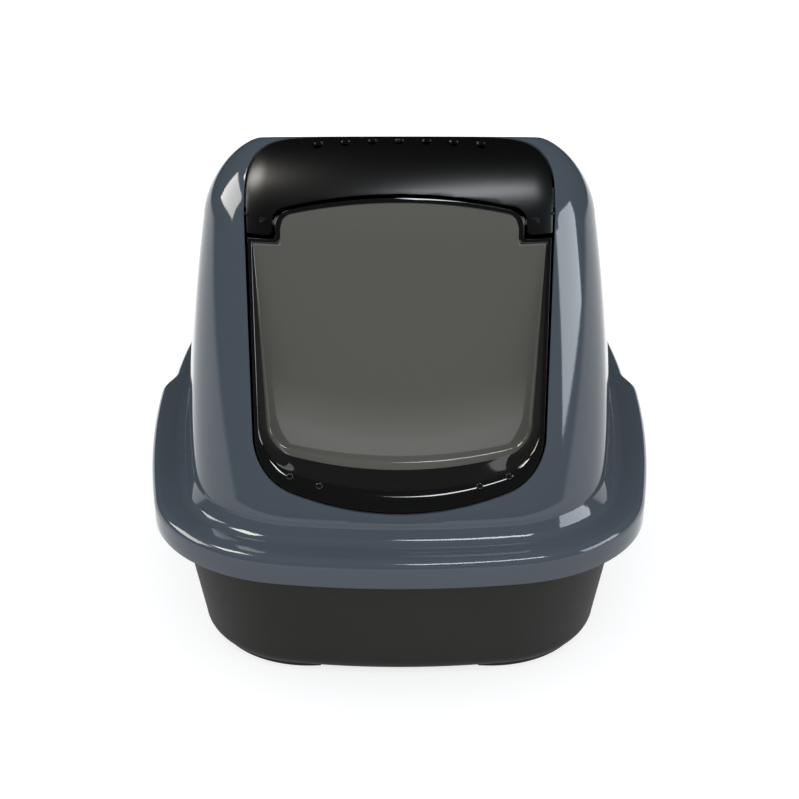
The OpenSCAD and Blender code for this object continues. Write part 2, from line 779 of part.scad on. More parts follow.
module base_tray() {
    rim_in = wall + rim_gap;
    top = -wall - rest_gap;
    low = tray_in + tray_taper;
    floor_z = -flange_z + foot_rib_h;
    color([0.2, 0.2, 0.2]) {
        loft(concat(
            [for (a = [90:-30:0]) edge_ring(
                low + tray_round * (1 - cos(a)), floor_z + tray_round * (1 - sin(a)))],
            [edge_ring(tray_in, top - wall), edge_ring(rim_in + wall, top - wall, 1)],
            [edge_ring(rim_in + wall, top - rim_lip, 1), edge_ring(rim_in, top - rim_lip, 1)],
            [edge_ring(rim_in, top, 1), edge_ring(tray_in + wall + rim_step, top)],
            [for (a = [0:30:90]) edge_ring(
                low + tray_round - (tray_round - wall) * cos(a),
                floor_z + tray_round - (tray_round - wall) * sin(a))]
        ));
        for (side = [-1, 1]) {
            foot_rib(-1, front_corner_r, side);
            foot_rib(1, rear_corner_r, side);
        }
    }
}

base_tray();
hood_shell();
top_cover();
swing_flap();
flap_pin(-1);  // flap_pin_left
flap_pin(1);  // flap_pin_right
cover_pin(-1);  // cover_pin_left
cover_pin(1);  // cover_pin_right
filter_frame();
carbon_filter();
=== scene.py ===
import bpy
import bmesh
from math import sin, cos, tan, radians, sqrt, atan2, pi
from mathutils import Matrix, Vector


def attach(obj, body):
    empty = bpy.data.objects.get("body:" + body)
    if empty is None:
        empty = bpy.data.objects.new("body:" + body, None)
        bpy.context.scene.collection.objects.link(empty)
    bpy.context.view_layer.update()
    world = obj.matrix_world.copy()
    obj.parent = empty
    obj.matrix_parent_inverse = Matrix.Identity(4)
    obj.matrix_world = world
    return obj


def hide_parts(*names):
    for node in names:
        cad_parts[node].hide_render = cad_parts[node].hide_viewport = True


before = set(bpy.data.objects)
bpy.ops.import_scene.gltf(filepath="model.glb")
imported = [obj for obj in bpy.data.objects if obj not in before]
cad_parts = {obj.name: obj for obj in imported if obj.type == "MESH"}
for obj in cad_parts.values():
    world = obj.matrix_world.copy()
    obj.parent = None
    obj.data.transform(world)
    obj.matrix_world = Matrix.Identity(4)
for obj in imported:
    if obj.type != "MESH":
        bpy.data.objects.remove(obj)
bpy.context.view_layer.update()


# The studio: a white paper floor under a dark ceiling, in even light from all round and one
# front lamp. Four soft boxes, to the right, to the left and overhead, only add reflections.

eye = bpy.data.cameras.new("eye")
eye.lens = 1300.0 / 799.0 * 36.0
eye.sensor_width = 36.0
eye_object = bpy.data.objects.new("eye", eye)
eye_object.location = (0.0, -1.0129, 0.550)
eye_object.rotation_euler = (radians(66.0), 0.0, 0.0)
bpy.context.scene.collection.objects.link(eye_object)
bpy.context.scene.camera = eye_object
bpy.context.scene.view_settings.view_transform = "Standard"


def node_material(name):
    """A new material with its principled shader."""
    material = bpy.data.materials.new(name)
    material.use_nodes = True
    return material, material.node_tree.nodes, material.node_tree.links, \
        material.node_tree.nodes["Principled BSDF"]


def white_to_the_eye(nodes, links):
    """1 where a camera, glossy or transmission ray arrives, 0 for light that only fills the room."""
    path = nodes.new("ShaderNodeLightPath")
    either = path.outputs["Is Camera Ray"]
    for kind in ("Is Glossy Ray", "Is Transmission Ray"):
        join = nodes.new("ShaderNodeMath")
        join.operation = "MAXIMUM"
        links.new(either, join.inputs[0])
        links.new(path.outputs[kind], join.inputs[1])
        either = join.outputs[0]
    return either


paper, nodes, links, shader = node_material("paper_floor")
shader.inputs["Base Color"].default_value = (0.45, 0.45, 0.45, 1.0)
shader.inputs["Roughness"].default_value = 0.9
shader.inputs["Specular IOR Level"].default_value = 0.1
shader.inputs["Emission Color"].default_value = (1.0, 1.0, 1.0, 1.0)
spot = nodes.new("ShaderNodeTexCoord")
reach = nodes.new("ShaderNodeVectorMath")
reach.operation = "LENGTH"
links.new(spot.outputs["Object"], reach.inputs[0])
spread = nodes.new("ShaderNodeMapRange")
spread.inputs["From Min"].default_value = 0.35
spread.inputs["From Max"].default_value = 1.6
spread.inputs["To Min"].default_value = 0.74
spread.inputs["To Max"].default_value = 1.0
links.new(reach.outputs["Value"], spread.inputs["Value"])
shine = nodes.new("ShaderNodeMath")
shine.operation = "MULTIPLY"
links.new(white_to_the_eye(nodes, links), shine.inputs[0])
links.new(spread.outputs["Result"], shine.inputs[1])
links.new(shine.outputs[0], shader.inputs["Emission Strength"])

sweep = bpy.data.meshes.new("floor_sweep")
rim = [(9.0 * cos(radians(5 * k)), 9.0 * sin(radians(5 * k)), 0.0) for k in range(72)]
sweep.from_pydata([(0.0, 0.0, 0.0)] + rim, [], [(0, k + 1, (k + 1) % 72 + 1) for k in range(72)])
sweep.materials.append(paper)
floor = bpy.data.objects.new("floor_sweep", sweep)
bpy.context.scene.collection.objects.link(floor)

sky = bpy.data.worlds.new("studio")
sky.use_nodes = True
bpy.context.scene.world = sky
nodes, links = sky.node_tree.nodes, sky.node_tree.links
shade = nodes["Background"]
shade.inputs["Color"].default_value = (0.93, 0.96, 1.0, 1.0)
shade.inputs["Strength"].default_value = 0.88
bright = nodes.new("ShaderNodeBackground")
bright.inputs["Color"].default_value = (1.0, 1.0, 1.0, 1.0)
bright.inputs["Strength"].default_value = 1.0
dim = nodes.new("ShaderNodeBackground")
dim.inputs["Color"].default_value = (0.9, 0.95, 1.0, 1.0)
dim.inputs["Strength"].default_value = 0.006
# The walls are white up to the horizon, and all above it is dark.
spot = nodes.new("ShaderNodeTexCoord")
parts = nodes.new("ShaderNodeSeparateXYZ")
links.new(spot.outputs["Generated"], parts.inputs[0])
wall_top = nodes.new("ShaderNodeMapRange")
wall_top.inputs["From Min"].default_value = -0.02
wall_top.inputs["From Max"].default_value = 0.01
links.new(parts.outputs["Z"], wall_top.inputs["Value"])
room = nodes.new("ShaderNodeMixShader")
links.new(wall_top.outputs["Result"], room.inputs["Fac"])
links.new(bright.outputs[0], room.inputs[1])
links.new(dim.outputs[0], room.inputs[2])
path = nodes.new("ShaderNodeLightPath")
eye_or_room = nodes.new("ShaderNodeMixShader")
links.new(path.outputs["Is Camera Ray"], eye_or_room.inputs["Fac"])
links.new(room.outputs[0], eye_or_room.inputs[1])
links.new(bright.outputs[0], eye_or_room.inputs[2])
pick = nodes.new("ShaderNodeMixShader")
links.new(white_to_the_eye(nodes, links), pick.inputs["Fac"])
links.new(shade.outputs[0], pick.inputs[1])
links.new(eye_or_room.outputs[0], pick.inputs[2])
links.new(pick.outputs[0], nodes["World Output"].inputs["Surface"])


def soft_box(name, place, target, width, height, watts, colour):
    """A rectangular area lamp that looks at a point."""
    lamp = bpy.data.lights.new(name, "AREA")
    lamp.shape = "RECTANGLE"
    lamp.size = width
    lamp.size_y = height
    lamp.energy = watts
    lamp.color = colour
    holder = bpy.data.objects.new(name, lamp)
    holder.location = place
    holder.rotation_euler = (Vector(target) - Vector(place)).to_track_quat("-Z", "Y").to_euler()
    bpy.context.scene.collection.objects.link(holder)
    return holder


for name, place, target, width, height, watts, colour in (
        ("light_right", (1.65, -0.46, 0.61), (0.11, -0.19, 0.25), 0.95, 0.62, 17.0, (0.86, 0.93, 1.0)),
        ("light_left", (-1.55, 0.04, 1.0), (-0.11, -0.16, 0.32), 0.98, 0.65, 25.0, (1.0, 0.98, 0.94)),
        ("light_cream", (-1.06, -0.19, 1.72), (-0.09, -0.16, 0.33), 0.5, 0.5, 20.0, (1.0, 0.97, 0.9)),
        ("light_cool", (0.45, -0.95, 1.72), (0.05, -0.2, 0.25), 0.95, 0.32, 20.0, (0.92, 0.96, 1.0))):
    box = soft_box(name, place, target, width, height, watts, colour)
    box.visible_diffuse = False
front = soft_box("light_front", (0.0, -2.6, 1.4), (0.0, 0.0, 0.15), 2.4, 1.2, 9.0, (1.0, 1.0, 1.0))
front.visible_glossy = False


# The open pan that holds the litter: one deep moulding in matt charcoal plastic, with a
# large radius round its floor, a turned-down rim that carries the hood, and four feet.

FLANGE_W, FLANGE_L, FLANGE_Z = 406.0, 580.0, 112.0
WIDEST_Y = 350.0
END_BOW_R, SIDE_BOW_R = 520.0, 1180.0
FRONT_CORNER_R, REAR_CORNER_R = 113.0, 120.0
GRIP_IN, GRIP_Y, GRIP_RAMP, GRIP_L = 8.0, 288.0, 34.0, 170.0
WALL = 2.8


def corner_arc(w, d, end_r, r, side_r):
    """Centre and the two tangent angles of a corner between an end bow and a side bow."""
    ay, bx = end_r - d, w - side_r
    ra, rb = end_r - r, side_r - r
    gap = sqrt(bx * bx + ay * ay)
    along = (ra * ra - rb * rb + gap * gap) / (2 * gap)
    aside = sqrt(ra * ra - along * along)
    x, y = (along * bx + aside * ay) / gap, ay + (-along * ay + aside * bx) / gap
    return x, y, atan2(x, ay - y), atan2(x - bx, -y)


def end_line(w, d, end_r, r, side_r, bow_n, corner_n):
    x, y, a1, a2 = corner_arc(w, d, end_r, r, side_r)
    line = [(end_r * sin(a1 * k / bow_n), end_r - d - end_r * cos(a1 * k / bow_n)) for k in range(bow_n)]
    for k in range(corner_n + 1):
        a = a1 + (a2 - a1) * k / corner_n
        line.append((x + r * sin(a), y - r * cos(a)))
    return line


def ease(t):
    t = max(0.0, min(1.0, t))
    return t * t * (3 - 2 * t)


def grip_share(y):
    return ease((GRIP_L / 2 - abs(y - GRIP_Y - GRIP_L / 2)) / GRIP_RAMP)


def plan_outline(w, f, b, inset, grip=0.0):
    """Plan outline in millimetres behind the flange's front: end bows, corners and bowed sides."""
    side_r = SIDE_BOW_R - inset
    front = end_line(w, WIDEST_Y - f, END_BOW_R - inset, FRONT_CORNER_R - inset, side_r, 14, 20)
    back = end_line(w, b - WIDEST_Y, END_BOW_R - inset, REAR_CORNER_R - inset, side_r, 14, 20)
    y1, y2 = WIDEST_Y + front[-1][1], WIDEST_Y - back[-1][1]
    right = [(x, WIDEST_Y + y) for x, y in front]
    for k in range(1, 60):
        y = y1 + (y2 - y1) * k / 60
        x = w - side_r + sqrt(side_r ** 2 - (y - WIDEST_Y) ** 2) - grip * grip_share(y)
        right.append((x, y))
    right += [(x, WIDEST_Y - y) for x, y in reversed(back)]
    return right + [(-x, y) for x, y in reversed(right[1:-1])]


def edge_ring(inset, z, grip=0.0):
    """Level ring parallel to the flange's edge; grip 1 follows the recess."""
    line = plan_outline(FLANGE_W / 2 - inset, inset, FLANGE_L - inset, inset, grip * GRIP_IN)
    return [(x, y, z) for x, y in line]


def skin_through(name, rings, closed_ends=True, finishes=None, finish_of=None):
    """Mesh in metres through rings of equal length, given in millimetres from the flange's front and ledge."""
    mesh = bpy.data.meshes.new(name)
    for finish in finishes or []:
        mesh.materials.append(finish)
    n = len(rings[0])
    spots = [
        (x / 1000, (y - FLANGE_L / 2) / 1000, (z + FLANGE_Z) / 1000)
        for ring in rings for x, y, z in ring]
    faces = [(j * n + i, j * n + (i + 1) % n, (j + 1) * n + (i + 1) % n, (j + 1) * n + i)
             for j in range(len(rings) - 1) for i in range(n)]
    if closed_ends:
        faces.append(tuple(range(n - 1, -1, -1)))
        faces.append(tuple(range((len(rings) - 1) * n, len(rings) * n)))
    mesh.from_pydata(spots, [], faces)
    if finish_of:
        for face in mesh.polygons:
            face.material_index = finish_of(min(face.index // n, len(rings) - 2))
    shape = bmesh.new()
    shape.from_mesh(mesh)
    bmesh.ops.recalc_face_normals(shape, faces=shape.faces)
    shape.to_mesh(mesh)
    shape.free()
    mesh.update()
    piece = bpy.data.objects.new(name, mesh)
    bpy.context.scene.collection.objects.link(piece)
    return piece


def finish_mesh(piece, angle=35.0, edge=0.0, segments=3):
    """Rounds the moulding's edges, applies what was added and shades it smooth."""
    if edge:
        bevel = piece.modifiers.new("edge", "BEVEL")
        bevel.width = edge / 1000
        bevel.segments = segments
        bevel.limit_method = "ANGLE"
        bevel.angle_limit = radians(angle)
        bevel.use_clamp_overlap = True
        bevel.miter_outer = "MITER_ARC"
    apply_all(piece)
    piece.data.shade_smooth()
    piece.data.set_sharp_from_angle(angle=radians(angle + 10))


def apply_all(piece):
    """Turns the piece's modifiers into plain mesh."""
    graph = bpy.context.evaluated_depsgraph_get()
    solid = bpy.data.meshes.new_from_object(piece.evaluated_get(graph))
    piece.modifiers.clear()
    old = piece.data
    piece.data = solid
    bpy.data.meshes.remove(old)


TRAY_IN, TRAY_LOW, TRAY_ROUND = 16.0, 32.0, 11.0
FOOT_H = 3.5
floor_z = FOOT_H - FLANGE_Z
rim_in, rim_top = WALL + 1.6, -WALL - 0.3


def arc(a_from, a_to, steps):
    return [radians(a_from + (a_to - a_from) * k / steps) for k in range(steps + 1)]


rings = [edge_ring(TRAY_LOW + TRAY_ROUND + 6, floor_z)]
for a in arc(90, 0, 9):
    rings.append(edge_ring(TRAY_LOW + TRAY_ROUND * (1 - cos(a)), floor_z + TRAY_ROUND * (1 - sin(a))))
for k in range(1, 8):
    t = k / 8
    rings.append(edge_ring(
        TRAY_LOW + (TRAY_IN - TRAY_LOW) * t,
        floor_z + TRAY_ROUND + (rim_top - WALL - floor_z - TRAY_ROUND) * t))
rings += [edge_ring(TRAY_IN, rim_top - WALL), edge_ring(rim_in + WALL, rim_top - WALL, 1)]
rings += [edge_ring(rim_in + WALL, rim_top - 7, 1), edge_ring(rim_in, rim_top - 7, 1)]
rings += [edge_ring(rim_in, rim_top, 1), edge_ring(TRAY_IN + WALL + 1, rim_top)]
inner = TRAY_ROUND - WALL
for k in range(1, 8):
    t = 1 - k / 8
    rings.append(edge_ring(
        TRAY_LOW + WALL + (TRAY_IN + 1 - TRAY_LOW) * t,
        floor_z + TRAY_ROUND + (rim_top - floor_z - TRAY_ROUND) * t))
for a in arc(0, 90, 7):
    rings.append(edge_ring(TRAY_LOW + TRAY_ROUND - inner * cos(a), floor_z + TRAY_ROUND - inner * sin(a)))
tray = skin_through("tray", rings)
finish_mesh(tray, 38.0, 0.7)

charcoal, nodes, links, shader = node_material("charcoal_plastic")
shader.inputs["Roughness"].default_value = 0.6
shader.inputs["Specular IOR Level"].default_value = 0.2
place = nodes.new("ShaderNodeTexCoord")
cloud = nodes.new("ShaderNodeTexNoise")
cloud.inputs["Scale"].default_value = 9.0
cloud.inputs["Detail"].default_value = 3.0
links.new(place.outputs["Object"], cloud.inputs["Vector"])
tone = nodes.new("ShaderNodeValToRGB")
tone.color_ramp.elements[0].position = 0.3
tone.color_ramp.elements[0].color = (0.021, 0.0205, 0.0185, 1.0)
tone.color_ramp.elements[1].position = 0.7
tone.color_ramp.elements[1].color = (0.026, 0.0253, 0.0228, 1.0)
links.new(cloud.outputs["Fac"], tone.inputs["Fac"])
links.new(tone.outputs["Color"], shader.inputs["Base Color"])
grain = nodes.new("ShaderNodeTexNoise")
grain.inputs["Scale"].default_value = 1400.0
grain.inputs["Detail"].default_value = 2.0
links.new(place.outputs["Object"], grain.inputs["Vector"])
relief = nodes.new("ShaderNodeBump")
relief.inputs["Strength"].default_value = 0.25
relief.inputs["Distance"].default_value = 0.0002
links.new(grain.outputs["Fac"], relief.inputs["Height"])
links.new(relief.outputs["Normal"], shader.inputs["Normal"])

feet = []
for end, corner_r in ((-1, FRONT_CORNER_R), (1, REAR_CORNER_R)):
    depth = WIDEST_Y if end < 0 else FLANGE_L - WIDEST_Y
    cx, cy, a1, a2 = corner_arc(
        FLANGE_W / 2 - TRAY_LOW, depth - TRAY_LOW, END_BOW_R - TRAY_LOW, corner_r - TRAY_LOW,
        SIDE_BOW_R - TRAY_LOW)
    r = corner_r - TRAY_LOW - TRAY_ROUND
    for side in (-1, 1):
        section = [(-3, -0.2), (-3, 2.6), (-2.2, 3.5), (2.2, 3.5), (3, 2.6), (3, -0.6)]
        steps = 28
        start, stop = a1 - radians(16), a2
        mesh = bpy.data.meshes.new("foot")
        spots, faces = [], []
        for k in range(steps + 1):
            a = start + (stop - start) * k / steps
            for out, down in section:
                x, y = cx + (r + out) * sin(a), cy - (r + out) * cos(a)
                behind = WIDEST_Y + (y if end < 0 else -y) - FLANGE_L / 2
                spots.append((side * x / 1000, behind / 1000, (FOOT_H - down) / 1000))
        m = len(section)
        for k in range(steps):
            for i in range(m):
                j = (i + 1) % m
                faces.append((k * m + i, k * m + j, (k + 1) * m + j, (k + 1) * m + i))
        faces += [tuple(range(m - 1, -1, -1)), tuple(range(steps * m, (steps + 1) * m))]
        mesh.from_pydata(spots, [], faces)
        corner = ("front" if end < 0 else "rear") + ("_left" if side < 0 else "_right")
        foot = bpy.data.objects.new("tray_foot_" + corner, mesh)
        bpy.context.scene.collection.objects.link(foot)
        shape = bmesh.new()
        shape.from_mesh(mesh)
        bmesh.ops.recalc_face_normals(shape, faces=shape.faces)
        shape.to_mesh(mesh)
        shape.free()
        finish_mesh(foot, 20.0, 0.5)
        feet.append(foot)


def dress(piece, finish, body, node=None):
    """Gives a piece its finish, the body that it moves with and the node that it stands for."""
    if finish:
        piece.data.materials.clear()
        piece.data.materials.append(finish)
    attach(piece, body)
    if node:
        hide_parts(node)


for piece in [tray] + feet:
    dress(piece, charcoal, "tray", "base_tray")


# The upper half: one glossy blue-grey moulding that stands on the tray's rim. Its front
# leans back, its shoulder rolls over into the roof, and its foot flows into a flat ledge.

FOOT_IN, HOOD_FOOT_H = 29.0, 12.0
FRONT_LEAN, SIDE_LEAN, REAR_LEAN, SIDE_BOW = 22.0, 6.3, 7.0, 3.0
SHOULDER_H, SHOULDER_RISE, FRONT_RUN, SIDE_RUN = 199.0, 43.0, 40.0, 39.0
UPPER_INSET, ROOF_ANGLE, CROWN = 24.0, 84.0, 4.0
SLOPE = tan(radians(14.5))
SKIRT_H, ROLL_R, LEDGE_W = 19.0, 6.0, 18.0
SEAM, REAR_SEAM = 1.8, 2.6
DOOR_TOP, DOOR_LOW = 104.0, 98.5
SILL_H, SILL_BOW_R, SILL_CORNER_R, ROOF_CORNER_R = 18.0, 250.0, 36.0, 32.0
LUG_LOW, LUG_TOP, LUG_REACH, LUG_T = 201.5, 212.5, 5.5, 2.4
REST_GAP, HOLD_GAP, RUN_GAP = 0.3, 0.02, 0.1
ROOF_H = SHOULDER_H + SHOULDER_RISE * sin(radians(ROOF_ANGLE))
ROOF_Y = FOOT_IN + tan(radians(FRONT_LEAN)) * (ROOF_H - HOOD_FOOT_H)
ROOF_Y += FRONT_RUN * (1 - cos(radians(ROOF_ANGLE)))
DOOR_REAR_Y = ROOF_Y + 5.4
HINGE_Y = DOOR_REAR_Y + 14.0
HINGE_H = ROOF_H - SLOPE * (HINGE_Y - ROOF_Y) - 6.5
HINGE_X, ARM_W, HINGE_PIN_R, KNUCKLE_R, CHEEK_T = 72.0, 7.0, 1.5, 3.2, 3.0


def sloped_ring(w, f, b, inset, z, slope):
    return [(x, y, z - slope * (y - f)) for x, y in plan_outline(w, f, b, inset)]


def wall_ring(z, t):
    """Hood wall at a height above the ledge, t inside its outer face."""
    h = z - HOOD_FOOT_H
    part = h / (SHOULDER_H - HOOD_FOOT_H)
    return sloped_ring(
        FLANGE_W / 2 - FOOT_IN - h * tan(radians(SIDE_LEAN)) + 4 * SIDE_BOW * part * (1 - part) - t,
        FOOT_IN + h * tan(radians(FRONT_LEAN)) + t,
        FLANGE_L - FOOT_IN - h * tan(radians(REAR_LEAN)) - t,
        FOOT_IN + t + UPPER_INSET * part, z, SLOPE * part)


def shoulder_ring(angle, t):
    """Rounded shoulder, from 0 degrees at the walls to 90 at the roof."""
    a = radians(angle)
    h = SHOULDER_H - HOOD_FOOT_H
    up, run = (SHOULDER_RISE - t) * sin(a), 1 - cos(a)
    side = tan(radians(SIDE_LEAN)) * (h + up) + (SIDE_RUN - t) * run + t
    front = tan(radians(FRONT_LEAN)) * (h + up) + (FRONT_RUN - t) * run + t
    rear = tan(radians(REAR_LEAN)) * (h + up) + (SIDE_RUN - t) * run + t
    return sloped_ring(
        FLANGE_W / 2 - FOOT_IN - side, FOOT_IN + front, FLANGE_L - FOOT_IN - rear,
        FOOT_IN + UPPER_INSET + (FRONT_CORNER_R - FOOT_IN - UPPER_INSET - 14) * run, SHOULDER_H + up, SLOPE)


def crown_ring(part, t):
    edge = shoulder_ring(ROOF_ANGLE, t)
    half = len(edge) // 2
    mid = (0.0, (edge[0][1] + edge[half][1]) / 2, (edge[0][2] + edge[half][2]) / 2)
    return [tuple(m + (p - m) * part + (CROWN * (1 - part * part) if i == 2 else 0.0)
                  for i, (p, m) in enumerate(zip(spot, mid))) for spot in edge]


def roof_rings(t):
    """Rings from the middle of the roof over the shoulder, t inside the outer face."""
    shares = (0.04, 0.12, 0.22, 0.32, 0.42, 0.52, 0.62, 0.72, 0.81, 0.89, 0.96)
    crown = [crown_ring(part, t) for part in shares]
    return crown + [shoulder_ring(ROOF_ANGLE - 6 * k, t) for k in range(14)]


def hood_rings(t):
    """Rings from the middle of the roof down to the foot."""
    return roof_rings(t) + [
        wall_ring(SHOULDER_H - (SHOULDER_H - HOOD_FOOT_H) * k / 24, t) for k in range(25 if not t else 24)]


def space_under(t):
    """Solid space under the roof and the upper walls, t inside their outer face."""
    rings = roof_rings(t) + [wall_ring(SHOULDER_H - 13 * k, t) for k in range(5)]
    return skin_through("space", list(reversed(rings)))


def foot_rings():
    """Concave foot, ledge, rolled edge and skirt, from the wall outwards."""
    foot = [
        edge_ring(LEDGE_W + (FOOT_IN - LEDGE_W) * sin(a), HOOD_FOOT_H * (1 - cos(a)))
        for a in arc(86, 0, 14)]
    step = [edge_ring(LEDGE_W - 0.5, 0.0, 0), edge_ring((LEDGE_W + ROLL_R) / 2, 0.0, 0.5)]
    roll = [edge_ring(ROLL_R * (1 - cos(a)), ROLL_R * (sin(a) - 1), 1) for a in arc(90, 0, 8)]
    skirt = [edge_ring(0, -SKIRT_H + 6, 1), edge_ring(0, -SKIRT_H, 1), edge_ring(WALL, -SKIRT_H, 1)]
    return foot + step + roll + skirt


inside = hood_rings(WALL)
outside = hood_rings(0.0)
under = [edge_ring(WALL, -SKIRT_H, 1), edge_ring(WALL, -WALL, 1), edge_ring(LEDGE_W + 4, -WALL)]
rings = inside + [under[2], under[1]] + list(reversed(foot_rings())) + list(reversed(outside))
hood = skin_through("hood", rings)


def flat_outline(points, y_from, y_to, name):
    """Solid along Y through an outline drawn in x and in height above the ledge."""
    return skin_through(name, [[(x, y_to, z) for x, z in points], [(x, y_from, z) for x, z in points]])


def sill_line(low, base, bow_r, r, steps=14):
    """Right half of a sill: its bow, then the corner arc up to the side."""
    cx = low - r
    rise = sqrt((bow_r - r) ** 2 - cx * cx)
    lean = atan2(cx, rise)
    cz = base + bow_r - rise
    line = [(bow_r * sin(lean * k / steps), base + bow_r * (1 - cos(lean * k / steps))) for k in range(steps)]
    turns = [lean + (pi / 2 - lean) * k / steps for k in range(steps + 1)]
    line += [(cx + r * sin(a), cz - r * cos(a)) for a in turns]
    return line


def both_halves(right):
    return right + [(-x, z) for x, z in reversed(right[1:])]


def doorway(gap, rear_gap, name):
    """Solid that fills the doorway and the cover's place in the roof, drawn in by a gap."""
    right = sill_line(DOOR_LOW - gap, SILL_H + gap, SILL_BOW_R + gap, SILL_CORNER_R - gap)
    right += [(DOOR_TOP - gap, SHOULDER_H), (DOOR_TOP - gap, SHOULDER_H + 120)]
    front = both_halves(right)
    tunnel = flat_outline(front, -20.0, 183.0, name)
    w, r, rear = DOOR_TOP - gap, ROOF_CORNER_R - gap, DOOR_REAR_Y - rear_gap
    plan = [(-w, -30.0), (w, -30.0)]
    plan += [(w - r + r * cos(a), rear - r + r * sin(a)) for a in arc(0, 90, 16)]
    plan += [(-w + r - r * cos(a), rear - r + r * sin(a)) for a in arc(90, 0, 16)]
    well = skin_through(name + "_plan", [[(x, y, -5.0) for x, y in plan], [(x, y, 395.0) for x, y in plan]])
    cut(tunnel, well, "INTERSECT")
    return tunnel


def cut(piece, tool, how="DIFFERENCE", keep=False):
    step = piece.modifiers.new("cut", "BOOLEAN")
    step.operation = how
    step.solver = "EXACT"
    step.object = tool
    apply_all(piece)
    if not keep:
        bpy.data.objects.remove(tool)


cut(hood, doorway(0.0, 0.0, "door_gap"))
finish_mesh(hood, 38.0, 0.6)


def across(name, outline, x_from, x_to):
    """Solid across the box through an outline drawn in depth behind the flange's front and height."""
    return skin_through(name, [[(x, y, z) for y, z in outline] for x in (x_from, x_to)])


def round_outline(y, z, r, start=0.0, turn=360.0, steps=32):
    """Points round a circle, seen from the side."""
    end = start + turn - (turn / steps if turn == 360.0 else 0.0)
    return [(y + r * cos(a), z + r * sin(a)) for a in arc(start, end, steps - 1)]


def block(x_from, x_to, z_from, z_to):
    """Plain box from the front to behind the shoulder, as a cutter."""
    return across("block", [(20.0, z_from), (180.0, z_from), (180.0, z_to), (20.0, z_to)], x_from, x_to)


cheeks, lugs = [], []
cheek = round_outline(HINGE_Y, HINGE_H, KNUCKLE_R, 180.0, 180.0, 18)
cheek += [(HINGE_Y + KNUCKLE_R, HINGE_H + 12.1), (HINGE_Y - KNUCKLE_R, HINGE_H + 12.1)]
for side, word in ((-1, "left"), (1, "right")):
    beside_arm = ARM_W / 2 + REST_GAP
    for near, place in ((HINGE_X - beside_arm - CHEEK_T, "inner"), (HINGE_X + beside_arm, "outer")):
        span = sorted((side * near, side * (near + CHEEK_T)))
        piece = across("hinge_cheek_" + place + "_" + word, cheek, *span)
        cut(piece, across("bore", round_outline(HINGE_Y, HINGE_H, HINGE_PIN_R + HOLD_GAP), -90.0, 90.0))
        cut(piece, space_under(WALL / 2), "INTERSECT")
        finish_mesh(piece, 38.0, 0.3, 2)
        cheeks.append(piece)
    for depth, x_from, x_to, place in (
            (WALL + REST_GAP, DOOR_TOP - LUG_REACH, DOOR_TOP + 0.5, "lip"),
            (WALL / 2, DOOR_TOP, DOOR_TOP + LUG_REACH, "root")):
        piece = block(*sorted((side * x_from, side * x_to)), LUG_LOW, LUG_TOP)
        cut(piece, space_under(depth), "INTERSECT")
        cut(piece, space_under(WALL + REST_GAP + LUG_T))
        finish_mesh(piece, 38.0, 0.25, 2)
        piece.name = "rest_lug_" + place + "_" + word
        lugs.append(piece)

slate, nodes, links, shader = node_material("slate_gloss")
shader.inputs["Roughness"].default_value = 0.07
shader.inputs["Specular IOR Level"].default_value = 0.33
place = nodes.new("ShaderNodeTexCoord")
cloud = nodes.new("ShaderNodeTexNoise")
cloud.inputs["Scale"].default_value = 5.0
cloud.inputs["Detail"].default_value = 3.0
links.new(place.outputs["Object"], cloud.inputs["Vector"])
tone = nodes.new("ShaderNodeValToRGB")
tone.color_ramp.elements[0].position = 0.3
tone.color_ramp.elements[0].color = (0.079, 0.096, 0.115, 1.0)
tone.color_ramp.elements[1].position = 0.7
tone.color_ramp.elements[1].color = (0.085, 0.102, 0.122, 1.0)
links.new(cloud.outputs["Fac"], tone.inputs["Fac"])
links.new(tone.outputs["Color"], shader.inputs["Base Color"])
ripple = nodes.new("ShaderNodeTexNoise")
ripple.inputs["Scale"].default_value = 260.0
ripple.inputs["Detail"].default_value = 1.0
links.new(place.outputs["Object"], ripple.inputs["Vector"])
relief = nodes.new("ShaderNodeBump")
relief.inputs["Strength"].default_value = 0.02
relief.inputs["Distance"].default_value = 0.0004
links.new(ripple.outputs["Fac"], relief.inputs["Height"])
links.new(relief.outputs["Normal"], shader.inputs["Normal"])
for piece in [hood] + cheeks + lugs:
    dress(piece, slate, "hood", "hood_shell")


# The two pins that the top cover turns on: short rods of satin grey plastic, each pushed
# through a pair of cheeks under the roof with the cover's arm between them.

pin_grey, nodes, links, shader = node_material("satin_grey_pin")
shader.inputs["Roughness"].default_value = 0.35
place = nodes.new("ShaderNodeTexCoord")
drawn = nodes.new("ShaderNodeTexNoise")
drawn.inputs["Scale"].default_value = 600.0
links.new(place.outputs["Object"], drawn.inputs["Vector"])
tone = nodes.new("ShaderNodeValToRGB")
tone.color_ramp.elements[0].color = (0.22, 0.22, 0.22, 1.0)
tone.color_ramp.elements[1].color = (0.27, 0.27, 0.27, 1.0)
links.new(drawn.outputs["Fac"], tone.inputs["Fac"])
links.new(tone.outputs["Color"], shader.inputs["Base Color"])


def finish_node(node, finish):
    """Gives a node of the frame, whose shape is right as it is, its finish."""
    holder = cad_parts[node]
    for material_slot in holder.material_slots:
        material_slot.material = finish
    if not holder.material_slots:
        holder.data.materials.append(finish)


for node in ("cover_pin_left", "cover_pin_right"):
    finish_node(node, pin_grey)


# The top cover: a satin black moulding that carries on the line of the flap over the
# shoulder and on to the roof, with a row of vent holes. Its two legs reach down beside
# the flap's ears, and two swan-neck arms below the roof's edge carry it on its pins.

